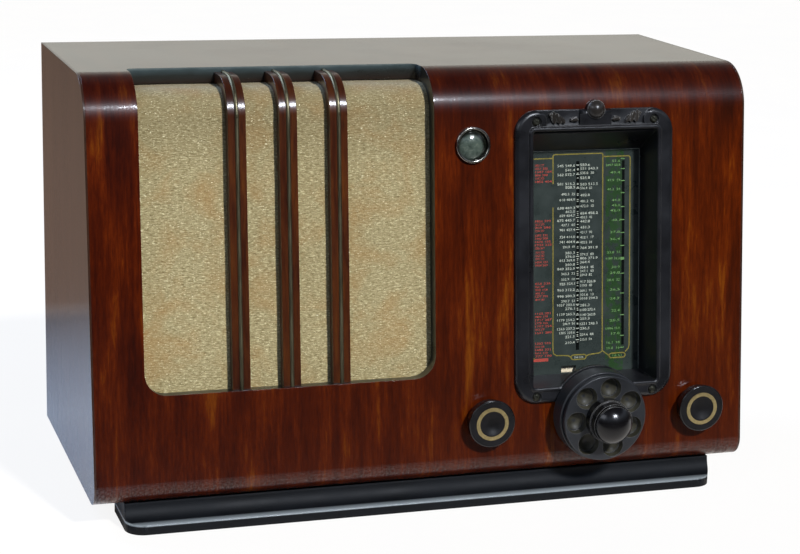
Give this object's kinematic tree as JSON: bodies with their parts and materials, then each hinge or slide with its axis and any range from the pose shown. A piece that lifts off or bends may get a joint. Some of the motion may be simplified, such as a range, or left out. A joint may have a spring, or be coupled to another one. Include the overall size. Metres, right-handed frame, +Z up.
{
  "type": "radio receiver",
  "caption": "Table radio receiver with a leaning wooden front, a grille that rolls over into the roof, a tall framed dial, a finger-hole tuning disc and side knobs.",
  "frame": {"origin": "on the table under the middle of the set, at the centre of the bounding box's bottom face", "axes": "+X to the right as seen from the front, +Y to the back, +Z up"},
  "size_m": [0.54, 0.293, 0.345],
  "materials": {
    "walnut_front": "gloss varnish",
    "walnut_side": "gloss varnish",
    "black_lacquer": "gloss black lacquer",
    "plywood": "bare",
    "bakelite": "polished black",
    "grille_cloth": "coarse woven, metal thread",
    "brass": "satin",
    "nickel": "polished nickel",
    "steel": "plated sheet",
    "aluminium": "satin",
    "eye_glass": "clear domed",
    "eye_tube": "dark",
    "scale_glass": "printed dark",
    "white_enamel": "matte",
    "red_enamel": "gloss",
    "valve_metal": "sprayed metal coat",
    "valve_glass": "clear",
    "dark_iron": "black japanned",
    "paper_cone": "pressed paper",
    "fibre_board": "pressed board",
    "paxolin": "laminated",
    "rubber": "matte"
  },
  "bodies": {
    "cabinet": {"cabinet_front": "walnut_front", "cabinet_roof": "walnut_front", "cabinet_bottom": "plywood", "side_left": "walnut_side", "side_right": "walnut_side", "plinth": "black_lacquer", "rear_batten": "black_lacquer", "baffle": "plywood", "grille_cloth": "grille_cloth", "grille_bar_left": "walnut_front", "grille_bar_middle": "walnut_front", "grille_bar_right": "walnut_front", "bar_beads": "brass", "eye_ring": "nickel", "eye_glass": "eye_glass", "eye_tube": "eye_tube", "dial_frame": "bakelite", "dial_ornament": "bakelite", "dial_screws": "nickel", "dial_scale": "scale_glass", "dial_back": "steel", "pointer_rail": "steel", "volume_control": "aluminium", "wave_switch": "steel", "tuning_bearing": "brass", "chassis": "steel", "gang_frame": "aluminium", "mains_transformer": "dark_iron", "output_transformer": "dark_iron", "valve_sockets": "bakelite", "mixer_valve": "valve_metal", "middle_valve": "valve_metal", "detector_valve": "valve_metal", "output_valve": "valve_metal", "rectifier_valve": "valve_glass", "filter_cans": "aluminium", "smoothing_cans": "aluminium", "speaker_basket": "dark_iron", "speaker_cone": "paper_cone", "speaker_magnet": "dark_iron", "rear_cleats": "plywood", "rear_cover": "fibre_board", "rear_screws": "nickel", "socket_strip": "paxolin", "mains_grommet": "rubber"},
    "volume": {"volume_knob": "bakelite", "volume_ring": "brass", "volume_shaft": "steel"},
    "wave": {"wave_knob": "bakelite", "wave_ring": "brass", "wave_shaft": "steel"},
    "tuning": {"tuning_disc": "bakelite", "tuning_tube": "steel"},
    "fine": {"fine_knob": "bakelite", "fine_shaft": "steel"},
    "capacitor": {"gang_rotor": "aluminium"},
    "pointer_slide": {"pointer": "red_enamel"},
    "band": {"band_drum": "white_enamel"}
  },
  "joints": [
    {"name": "volume_turn", "type": "hinge", "parent": "cabinet", "child": "volume", "pos_m": [0.0456, -0.098, 0.0695], "axis": [0, 1, 0], "range_deg": [-150, 150]},
    {"name": "wave_turn", "type": "hinge", "parent": "cabinet", "child": "wave", "pos_m": [0.2284, -0.098, 0.0695], "axis": [0, 1, 0], "range_deg": [-30, 30]},
    {"name": "tuning_turn", "type": "hinge", "parent": "cabinet", "child": "tuning", "pos_m": [0.137, -0.1, 0.0717], "axis": [0, 1, 0], "range_deg": [-270, 270]},
    {"name": "fine_turn", "type": "hinge", "parent": "cabinet", "child": "fine", "pos_m": [0.137, -0.1, 0.0717], "axis": [0, 1, 0], "range_deg": [-1620, 1620]},
    {"name": "capacitor_turn", "type": "hinge", "parent": "cabinet", "child": "capacitor", "pos_m": [0.137, 0, 0.1175], "axis": [0, 1, 0], "range_deg": [-90, 90]},
    {"name": "pointer_move", "type": "slide", "parent": "cabinet", "child": "pointer_slide", "axis": [0, 0.1132, 0.9936], "range_m": [-0.072, 0.072]},
    {"name": "band_turn", "type": "hinge", "parent": "cabinet", "child": "band", "pos_m": [0.137, -0.0517, 0.09651], "axis": [1, 0, 0], "range_deg": [-120, 120]}
  ],
  "couplings": [
    {"joint": "fine_turn", "follows": "tuning_turn", "ratio": 6},
    {"joint": "capacitor_turn", "follows": "tuning_turn", "ratio": 0.33333},
    {"joint": "pointer_move", "follows": "tuning_turn", "m_per_rad": 0.01527},
    {"joint": "band_turn", "follows": "wave_turn", "ratio": 4}
  ]
}
